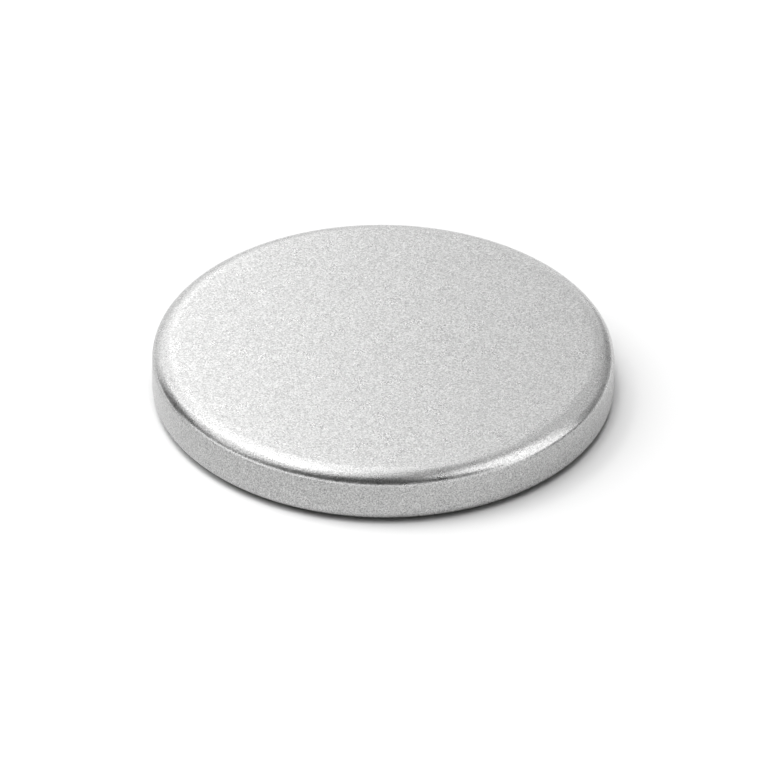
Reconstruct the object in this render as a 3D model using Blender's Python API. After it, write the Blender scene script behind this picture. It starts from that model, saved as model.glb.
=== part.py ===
"""Disc magnet: a sintered neodymium block plated all over with nickel, copper and nickel.

The disc stands on its underside. The origin is the centre of the underside and +Z is the disc's axis.
The layers nest inside each other, and each one has the same turned outline, set in by what lies outside it.
All lengths are in metres.
"""

import math

import bmesh
import bpy

# Driving dimensions of the finished disc
DISC_DIAMETER = 0.025
DISC_THICKNESS = 0.003
EDGE_WIDTH = 0.0012  # each edge is a quarter of an ellipse, wider than it is high
EDGE_HEIGHT = 0.0007

# The plating, from the outside in
TOPCOAT_THICKNESS = 7e-6
MIDLAYER_THICKNESS = 8e-6
UNDERPLATE_THICKNESS = 5e-6
LAYER_GAP = 2e-6  # keeps the bonded layers apart as separate solids
VENT_RADIUS = 0.00025  # the opening that each layer keeps at the centre of its underside

# Facets
TURN_STEPS = 60
EDGE_STEPS = 6
MERGE_DISTANCE = 1e-7
SMOOTH_ANGLE = math.radians(40)


def clear_scene():
    for old in list(bpy.data.objects):
        bpy.data.objects.remove(old, do_unlink=True)


def metal(name, colour, roughness, metallic):
    material = bpy.data.materials.new(name)
    material.use_nodes = True
    shader = material.node_tree.nodes["Principled BSDF"]
    shader.inputs["Base Color"].default_value = (*colour, 1)
    shader.inputs["Roughness"].default_value = roughness
    shader.inputs["Metallic"].default_value = metallic
    return material


def edge_point(angle, inset):
    """Point (r, z) of the rounded top edge: angle 0 meets the flat face, and a right angle meets the wall."""
    outward = math.sin(angle)
    upward = math.cos(angle)
    normal = (outward / EDGE_WIDTH, upward / EDGE_HEIGHT)
    length = math.hypot(*normal)
    r = DISC_DIAMETER / 2 - EDGE_WIDTH + EDGE_WIDTH * outward
    z = DISC_THICKNESS - EDGE_HEIGHT + EDGE_HEIGHT * upward
    return (r - inset * normal[0] / length, z - inset * normal[1] / length)


def upper_edge(inset):
    """Outline from the rim of the flat top face down to the top of the wall, set in by inset."""
    return [edge_point(math.pi / 2 * step / EDGE_STEPS, inset) for step in range(EDGE_STEPS + 1)]


def outline(inset):
    """The half outline set in by inset, from the rim of the top face to the rim of the underside."""
    upper = upper_edge(inset)
    lower = [(r, DISC_THICKNESS - z) for r, z in reversed(upper)]
    return upper + lower


def solid_profile(inset):
    return [(0, DISC_THICKNESS - inset), *outline(inset), (0, inset)]


def layer_profile(outer, inner):
    """A layer between two insets, open at the centre of its underside."""
    outside = [(0, DISC_THICKNESS - outer), *outline(outer), (VENT_RADIUS, outer)]
    inside = [(0, DISC_THICKNESS - inner), *outline(inner), (VENT_RADIUS, inner)]
    return outside + inside[::-1]


def turned(name, profile, material):
    """Turn a profile of (r, z) points, which starts and ends on the axis, into one closed object."""
    mesh_data = bmesh.new()
    points = [mesh_data.verts.new((r, 0, z)) for r, z in profile]
    edges = [mesh_data.edges.new(pair) for pair in zip(points, points[1:])]
    bmesh.ops.spin(
        mesh_data,
        geom=points + edges,
        cent=(0, 0, 0),
        axis=(0, 0, 1),
        angle=2 * math.pi,
        steps=TURN_STEPS,
    )
    bmesh.ops.remove_doubles(mesh_data, verts=mesh_data.verts, dist=MERGE_DISTANCE)
    bmesh.ops.recalc_face_normals(mesh_data, faces=mesh_data.faces)
    mesh = bpy.data.meshes.new(name)
    mesh_data.to_mesh(mesh)
    mesh_data.free()
    mesh.shade_smooth()
    mesh.set_sharp_from_angle(angle=SMOOTH_ANGLE)
    mesh.materials.append(material)
    piece = bpy.data.objects.new(name, mesh)
    bpy.context.scene.collection.objects.link(piece)
    return piece


def make_topcoat():
    material = metal("satin_nickel", (0.70, 0.70, 0.69), 0.34, 1)
    return turned("nickel_topcoat", layer_profile(0, TOPCOAT_THICKNESS), material)


def make_midlayer():
    outer = TOPCOAT_THICKNESS + LAYER_GAP
    material = metal("plated_copper", (0.80, 0.42, 0.28), 0.38, 1)
    return turned("copper_midlayer", layer_profile(outer, outer + MIDLAYER_THICKNESS), material)


def make_underplate():
    outer = TOPCOAT_THICKNESS + MIDLAYER_THICKNESS + 2 * LAYER_GAP
    material = metal("matte_nickel", (0.60, 0.58, 0.54), 0.48, 1)
    return turned("nickel_underplate", layer_profile(outer, outer + UNDERPLATE_THICKNESS), material)


def make_core():
    plating = TOPCOAT_THICKNESS + MIDLAYER_THICKNESS + UNDERPLATE_THICKNESS + 3 * LAYER_GAP
    material = metal("sintered_neodymium", (0.17, 0.17, 0.18), 0.6, 0.9)
    return turned("magnet_core", solid_profile(plating), material)


def main():
    clear_scene()
    disc = bpy.data.objects.new("disc_magnet", None)
    bpy.context.scene.collection.objects.link(disc)
    for make_layer in (make_core, make_underplate, make_midlayer, make_topcoat):
        make_layer().parent = disc


main()
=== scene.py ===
"""Looks of the plated disc magnet: its satin nickel skin, the layers inside it, and a white studio.

Everything is in metres, in the CAD model's frame: the disc stands on z = 0 and its axis is +Z.
"""

import math

import bmesh
import bpy
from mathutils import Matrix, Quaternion, Vector


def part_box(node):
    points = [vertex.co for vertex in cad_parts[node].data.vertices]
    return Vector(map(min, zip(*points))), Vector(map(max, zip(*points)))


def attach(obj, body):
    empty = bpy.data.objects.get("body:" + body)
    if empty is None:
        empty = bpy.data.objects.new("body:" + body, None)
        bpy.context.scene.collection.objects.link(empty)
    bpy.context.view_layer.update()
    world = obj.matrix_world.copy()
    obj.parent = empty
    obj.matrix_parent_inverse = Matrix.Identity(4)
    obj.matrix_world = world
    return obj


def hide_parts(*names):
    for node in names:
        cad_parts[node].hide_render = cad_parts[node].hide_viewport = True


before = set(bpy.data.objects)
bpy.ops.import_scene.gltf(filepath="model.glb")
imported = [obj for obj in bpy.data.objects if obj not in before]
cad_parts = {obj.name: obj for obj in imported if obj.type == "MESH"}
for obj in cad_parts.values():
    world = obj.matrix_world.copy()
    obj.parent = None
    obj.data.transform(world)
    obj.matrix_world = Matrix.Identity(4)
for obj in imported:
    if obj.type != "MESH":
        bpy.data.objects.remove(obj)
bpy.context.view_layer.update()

# The skin's shape, on the CAD model's box
SKIN_NODE = "nickel_topcoat"
LOW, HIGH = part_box(SKIN_NODE)
RADIUS = (HIGH.x - LOW.x) / 2
THICKNESS = HIGH.z - LOW.z
EDGE_WIDTH = 0.0012
EDGE_HEIGHT = 0.0007
SKIN_THICKNESS = 7e-6
VENT_RADIUS = 0.00025
TURN_STEPS = 320
EDGE_STEPS = 24
FACE_RINGS = 8
WALL_STEPS = 4
MERGE_DISTANCE = 1e-7
SMOOTH_ANGLE = 40

# The skin's finish: crystal grain on a wider mottle, and painted shade on the wall, whose colours are
# darker than the faces'
GRAIN_SIZE = 0.00008
GRAIN_DEPTH = 9e-6
MOTTLE_SIZE = 0.0009
MOTTLE_DEPTH = 4e-6
FACE_DARK = (0.36, 0.36, 0.36)
FACE_LIGHT = (0.76, 0.76, 0.755)
# The wall's colours: the same grain, darkened as painted shade
SHADED_WALL_DARK = (0.25, 0.25, 0.25)
SHADED_WALL_LIGHT = (0.63, 0.63, 0.625)
# Where the wall's painted shade starts and ends, as a distance from the axis
SHADED_WALL_START = RADIUS - 0.00008
SHADED_WALL_END = RADIUS - 0.00001
ROUGH = 0.31
SMOOTH = 0.26

# The finish of the inner layers
PLATE_GRAIN = 0.0002
BLOCK_GRAIN = 0.00012
BLOCK_METALLIC = 0.9
RELIEF_SHARE = 1 / 20

# The part of a noise's range that is used, and a Mix node's sockets for colours
NOISE_LOW = 0.25
NOISE_HIGH = 0.75
MIX_SHARE = 0
MIX_FIRST = 6
MIX_SECOND = 7
MIX_RESULT = 2

# The camera: a long lens, looking down on the disc from the front
CAMERA_DISTANCE = 0.85
CAMERA_ELEVATION = 34.4
CAMERA_ROLL = 0.48
AIM_RIGHT = 0.000049
AIM_UP = 0.000461
VIEW_WIDTH = 0.04161
SENSOR_WIDTH = 36
CLIP_START = 0.01
CLIP_END = 20

# The studio
FLOOR_SIZE = 6
FLOOR_ALBEDO = 0.8
# Painted contact shadow: the floor's colour darkens to SHADE_ALBEDO right under the disc's rounded edge
SHADE_ALBEDO = 0.2
SHADE_START = RADIUS - 0.0009
SHADE_END = RADIUS - 0.0001
SHADE_CENTRE = (0.00005, 0)
GLOW_START = 0.03
GLOW_END = 0.15
ROOM_LIGHT = 0.06
LAMP_DISTANCE = 0.16
FLOOR_LAMP_DISTANCE = 3
WHITE = (1, 1, 1, 1)


def edge_point(angle, inset):
    """Point (r, z) of the rounded edge: angle 0 meets the top face, a right angle meets the wall."""
    outward = math.sin(angle)
    upward = math.cos(angle)
    normal = (outward / EDGE_WIDTH, upward / EDGE_HEIGHT)
    length = math.hypot(*normal)
    r = RADIUS - EDGE_WIDTH + EDGE_WIDTH * outward
    z = THICKNESS - EDGE_HEIGHT + EDGE_HEIGHT * upward
    return (r - inset * normal[0] / length, z - inset * normal[1] / length)


def upper_outline(inset):
    """From the centre of the top face out over the rounded edge to the middle of the wall."""
    rim = RADIUS - EDGE_WIDTH
    top = THICKNESS - inset
    points = [(rim * ring / FACE_RINGS, top) for ring in range(FACE_RINGS)]
    points += [edge_point(math.pi / 2 * step / EDGE_STEPS, inset) for step in range(EDGE_STEPS + 1)]
    start = THICKNESS - EDGE_HEIGHT
    drop = start - THICKNESS / 2
    points += [(RADIUS - inset, start - drop * step / WALL_STEPS) for step in range(1, WALL_STEPS + 1)]
    return points


def side_outline(inset):
    """One side of the skin, from the top face's centre to the vent in the middle of the underside."""
    upper = upper_outline(inset)
    lower = [(r, THICKNESS - z) for r, z in reversed(upper[1:-1])]
    return upper + lower + [(VENT_RADIUS, inset)]


def turned(name, profile):
    """One closed object turned from a profile that starts and ends on the axis."""
    shape = bmesh.new()
    points = [shape.verts.new((r, 0, z)) for r, z in profile]
    edges = [shape.edges.new(pair) for pair in zip(points, points[1:])]
    turn = {"cent": (0, 0, 0), "axis": (0, 0, 1), "angle": 2 * math.pi, "steps": TURN_STEPS}
    bmesh.ops.spin(shape, geom=points + edges, **turn)
    bmesh.ops.remove_doubles(shape, verts=shape.verts, dist=MERGE_DISTANCE)
    bmesh.ops.recalc_face_normals(shape, faces=shape.faces)
    mesh = bpy.data.meshes.new(name)
    shape.to_mesh(mesh)
    shape.free()
    mesh.shade_smooth()
    mesh.set_sharp_from_angle(angle=math.radians(SMOOTH_ANGLE))
    piece = bpy.data.objects.new(name, mesh)
    bpy.context.scene.collection.objects.link(piece)
    return piece


class Surface:
    """A material, with a short way to write its node tree."""

    def __init__(self, name):
        self.material = bpy.data.materials.new(name)
        self.material.use_nodes = True
        self.tree = self.material.node_tree
        self.shader = self.tree.nodes["Principled BSDF"]
        self.place = self.tree.nodes.new("ShaderNodeTexCoord").outputs["Object"]

    def set(self, name, value):
        """Sets a number or colour that is the same all over."""
        self.shader.inputs[name].default_value = value

    def drive(self, name, source):
        """Links a pattern to one of the shader's sockets."""
        self.tree.links.new(source, self.shader.inputs[name])

    def noise(self, size, detail=0.0, roughness=0.5):
        """Noise, from 0 to 1, whose lumps are about size across."""
        node = self.tree.nodes.new("ShaderNodeTexNoise")
        node.inputs["Scale"].default_value = 1 / size
        node.inputs["Detail"].default_value = detail
        node.inputs["Roughness"].default_value = roughness
        self.tree.links.new(self.place, node.inputs["Vector"])
        return node.outputs["Fac"]

    def blend(self, share, first, second):
        """A mix of two colours, with this share of the second one."""
        node = self.tree.nodes.new("ShaderNodeMix")
        node.data_type = "RGBA"
        self.tree.links.new(share, node.inputs[MIX_SHARE])
        self.tree.links.new(first, node.inputs[MIX_FIRST])
        self.tree.links.new(second, node.inputs[MIX_SECOND])
        return node.outputs[MIX_RESULT]

    def spread(self, source, start, end, low, high, smooth=False):
        """Goes from low to high as the source goes from start to end."""
        node = self.tree.nodes.new("ShaderNodeMapRange")
        if smooth:
            node.interpolation_type = "SMOOTHSTEP"
        node.inputs["From Min"].default_value = start
        node.inputs["From Max"].default_value = end
        node.inputs["To Min"].default_value = low
        node.inputs["To Max"].default_value = high
        self.tree.links.new(source, node.inputs["Value"])
        return node.outputs["Result"]

    def between(self, noise, low, high):
        """The middle of a noise's range, spread from low to high."""
        return self.spread(noise, NOISE_LOW, NOISE_HIGH, low, high)

    def colours(self, noise, dark, light):
        """The middle of a noise's range, spread from a dark to a light colour."""
        node = self.tree.nodes.new("ShaderNodeValToRGB")
        first, last = node.color_ramp.elements
        first.position = NOISE_LOW
        first.color = (*dark, 1)
        last.position = NOISE_HIGH
        last.color = (*light, 1)
        self.tree.links.new(noise, node.inputs["Fac"])
        return node.outputs["Color"]

    def radius(self, start, end, low, high, centre=(0, 0)):
        """Goes from low to high as the distance from an upright axis goes from start to end."""
        flat = self.tree.nodes.new("ShaderNodeVectorMath")
        flat.operation = "MULTIPLY_ADD"
        flat.inputs[1].default_value = (1, 1, 0)
        flat.inputs[2].default_value = (-centre[0], -centre[1], 0)
        self.tree.links.new(self.place, flat.inputs[0])
        length = self.tree.nodes.new("ShaderNodeVectorMath")
        length.operation = "LENGTH"
        self.tree.links.new(flat.outputs["Vector"], length.inputs["Vector"])
        return self.spread(length.outputs["Value"], start, end, low, high, smooth=True)

    def relief(self, source, depth, under=None):
        """A bump of this depth, on top of another bump if there is one."""
        node = self.tree.nodes.new("ShaderNodeBump")
        node.inputs["Distance"].default_value = depth
        self.tree.links.new(source, node.inputs["Height"])
        if under is not None:
            self.tree.links.new(under, node.inputs["Normal"])
        return node.outputs["Normal"]


def satin_nickel():
    """Nickel over a tumbled blank: an even grain of crystals on a faint mottle, with painted shade on
    the wall: its colours are darker than the faces'.
    """
    plate = Surface("satin_nickel_plate")
    grain = plate.noise(GRAIN_SIZE, 1)
    mottle = plate.noise(MOTTLE_SIZE, 2)
    face = plate.colours(grain, FACE_DARK, FACE_LIGHT)
    wall = plate.colours(grain, SHADED_WALL_DARK, SHADED_WALL_LIGHT)
    # Painted shade: near the outer radius the base colour turns to the darker wall colours
    plate.drive("Base Color", plate.blend(plate.radius(SHADED_WALL_START, SHADED_WALL_END, 0, 1), face, wall))
    plate.drive("Roughness", plate.between(mottle, ROUGH, SMOOTH))
    plate.drive("Normal", plate.relief(grain, GRAIN_DEPTH, plate.relief(mottle, MOTTLE_DEPTH)))
    plate.set("Metallic", 1)
    return plate.material


def inner_metal(name, dark, light, smooth, rough, size, metallic=1.0):
    """A metal whose colour, roughness and relief follow one grain."""
    metal = Surface(name)
    grain = metal.noise(size, 3, 0.6)
    metal.drive("Base Color", metal.colours(grain, dark, light))
    metal.drive("Roughness", metal.between(grain, rough, smooth))
    metal.drive("Normal", metal.relief(grain, size * RELIEF_SHARE))
    metal.set("Metallic", metallic)
    return metal.material


def make_skin():
    """The outer nickel plate, as a thin shell."""
    outside = side_outline(0)
    inside = side_outline(SKIN_THICKNESS)
    skin = turned("satin_skin", outside + inside[::-1])
    skin.data.materials.append(satin_nickel())
    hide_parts(SKIN_NODE)
    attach(skin, "root")
    disc_only.objects.link(skin)


def dress(node, material):
    """Gives a CAD node this material only."""
    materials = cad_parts[node].data.materials
    materials.clear()
    materials.append(material)


def dress_layers():
    """The layers under the skin: copper plate, matte nickel plate and the sintered block."""
    copper = ((0.72, 0.36, 0.23), (0.86, 0.48, 0.33), 0.32, 0.44)
    nickel = ((0.52, 0.50, 0.46), (0.66, 0.64, 0.60), 0.42, 0.54)
    block = ((0.10, 0.10, 0.11), (0.23, 0.23, 0.24), 0.5, 0.7)
    dress("copper_midlayer", inner_metal("copper_plate", *copper, PLATE_GRAIN))
    dress("nickel_underplate", inner_metal("matte_nickel_plate", *nickel, PLATE_GRAIN))
    dress("magnet_core", inner_metal("sintered_block", *block, BLOCK_GRAIN, BLOCK_METALLIC))


def direction(azimuth, elevation):
    """Unit vector in degrees: azimuth 0 is the far side, 90 the right and 180 the camera's side."""
    around = math.radians(azimuth)
    up = math.radians(elevation)
    return Vector((math.sin(around) * math.cos(up), math.cos(around) * math.cos(up), math.sin(up)))


def lamp(name, azimuth, elevation, distance, half_width, half_height, radiance, receivers):
    """A rectangular lamp that faces the disc, lights one collection only, and isn't seen by the camera.

    Its half width and half height are angles in degrees, as the disc sees them.
    """
    width = 2 * distance * math.tan(math.radians(half_width))
    height = 2 * distance * math.tan(math.radians(half_height))
    light = bpy.data.lights.new(name, "AREA")
    light.shape = "RECTANGLE"
    light.size = width
    light.size_y = height
    light.energy = radiance * width * height * math.pi
    holder = bpy.data.objects.new(name, light)
    holder.location = direction(azimuth, elevation) * distance
    holder.rotation_mode = "QUATERNION"
    holder.rotation_quaternion = holder.location.to_track_quat("Z", "Y")
    holder.visible_camera = False
    holder.light_linking.receiver_collection = receivers
    bpy.context.scene.collection.objects.link(holder)


def softbox(name, azimuth, elevation, half_width, half_height, radiance):
    """A near lamp for the disc."""
    lamp(name, azimuth, elevation, LAMP_DISTANCE, half_width, half_height, radiance, disc_only)


def floor_lamp(name, azimuth, elevation, half_size, radiance):
    """A far lamp for the floor, which gives the disc its shadow."""
    lamp(name, azimuth, elevation, FLOOR_LAMP_DISTANCE, half_size, half_size, radiance, floor_only)


def light_disc():
    """Softboxes all round, brightest at the left and the right."""
    softbox("top", azimuth=-60, elevation=80, half_width=13, half_height=13, radiance=1.1)
    softbox("back_left", azimuth=-26, elevation=49, half_width=19, half_height=25, radiance=1.12)
    softbox("left", azimuth=-73, elevation=57, half_width=24, half_height=21, radiance=1.12)
    softbox("back_low", azimuth=-15, elevation=17, half_width=37, half_height=12, radiance=1.06)
    softbox("back_right", azimuth=21, elevation=46, half_width=30, half_height=18, radiance=0.71)
    softbox("right_low", azimuth=43, elevation=13, half_width=21, half_height=13, radiance=0.3)
    softbox("right", azimuth=97, elevation=45, half_width=20, half_height=28, radiance=1.73)
    softbox("front_right", azimuth=140, elevation=15, half_width=30, half_height=13, radiance=1.1)
    softbox("front_left", azimuth=-134, elevation=18, half_width=55, half_height=11, radiance=1.5)


def light_floor():
    """Lamps above, to the left and in front, so that the shadow falls to the right."""
    floor_lamp("floor_left", azimuth=-78, elevation=46, half_size=20, radiance=3.06)
    floor_lamp("floor_high_left", azimuth=-60, elevation=71, half_size=14, radiance=4.51)
    floor_lamp("floor_top", azimuth=0, elevation=90, half_size=12, radiance=5.64)
    floor_lamp("floor_front", azimuth=180, elevation=71, half_size=14, radiance=4.35)


def make_floor():
    """A plain white floor with a painted contact shadow: its colour is darker right under the disc's
    rounded edge, on a ring set a little to the right; with a glow further out.
    """
    bpy.ops.mesh.primitive_plane_add(size=FLOOR_SIZE)
    floor = bpy.context.object
    floor.name = "floor"
    paper = Surface("white_floor")
    # Painted contact shadow in the floor's colour, on a ring round SHADE_CENTRE
    albedo_with_painted_shadow = paper.radius(SHADE_START, SHADE_END, SHADE_ALBEDO, FLOOR_ALBEDO, SHADE_CENTRE)
    paper.drive("Base Color", albedo_with_painted_shadow)
    paper.set("Roughness", 1)
    paper.set("Specular IOR Level", 0)
    paper.set("Emission Color", WHITE)
    paper.drive("Emission Strength", paper.radius(GLOW_START, GLOW_END, 0, 1))
    floor.data.materials.append(paper.material)
    floor_only.objects.link(floor)


def make_world():
    """White behind everything that the camera sees, and a dim even room for the reflections."""
    world = bpy.data.worlds.new("studio")
    world.use_nodes = True
    tree = world.node_tree
    backdrop = tree.nodes["Background"]
    backdrop.inputs["Color"].default_value = WHITE
    room = tree.nodes.new("ShaderNodeBackground")
    room.inputs["Color"].default_value = WHITE
    room.inputs["Strength"].default_value = ROOM_LIGHT
    seen = tree.nodes.new("ShaderNodeLightPath")
    choice = tree.nodes.new("ShaderNodeMixShader")
    tree.links.new(seen.outputs["Is Camera Ray"], choice.inputs["Fac"])
    tree.links.new(room.outputs["Background"], choice.inputs[1])
    tree.links.new(backdrop.outputs["Background"], choice.inputs[2])
    tree.links.new(choice.outputs["Shader"], tree.nodes["World Output"].inputs["Surface"])
    bpy.context.scene.world = world


def make_camera():
    """The lens is set so that the view is VIEW_WIDTH across at the disc's distance."""
    lens = bpy.data.cameras.new("camera")
    lens.sensor_width = SENSOR_WIDTH
    lens.lens = SENSOR_WIDTH * CAMERA_DISTANCE / VIEW_WIDTH
    lens.clip_start = CLIP_START
    lens.clip_end = CLIP_END
    camera = bpy.data.objects.new("camera", lens)
    back = direction(180, CAMERA_ELEVATION)
    turn = back.to_track_quat("Z", "Y")
    aim = turn @ Vector((AIM_RIGHT, AIM_UP, 0))
    camera.location = back * CAMERA_DISTANCE + aim
    camera.rotation_mode = "QUATERNION"
    camera.rotation_quaternion = turn @ Quaternion((0, 0, 1), math.radians(CAMERA_ROLL))
    bpy.context.scene.collection.objects.link(camera)
    bpy.context.scene.camera = camera


disc_only = bpy.data.collections.new("disc_only")
floor_only = bpy.data.collections.new("floor_only")
make_skin()
dress_layers()
make_camera()
make_floor()
make_world()
light_disc()
light_floor()
bpy.context.scene.view_settings.view_transform = "Standard"
